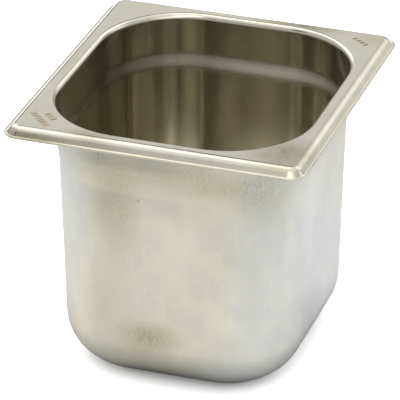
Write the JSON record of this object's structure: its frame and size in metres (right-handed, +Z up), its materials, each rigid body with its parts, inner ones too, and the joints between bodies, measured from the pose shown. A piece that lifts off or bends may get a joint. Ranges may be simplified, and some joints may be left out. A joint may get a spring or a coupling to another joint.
{
  "type": "deli food pan",
  "caption": "Deep rectangular steel food pan with rounded corners, a stacking ledge and a flat rim that hangs in a counter cut-out.",
  "frame": {"origin": "middle of the base, on the surface the pan stands on", "axes": "+X to the right along the shorter side of the rim, +Y to the back along the longer side, +Z up"},
  "size_m": [0.162, 0.176, 0.15],
  "materials": {
    "steel": "satin stainless steel, soft vertical draw marks on the walls, brighter bends round the rim"
  },
  "bodies": {
    "root": {"pan": "steel"}
  },
  "joints": []
}
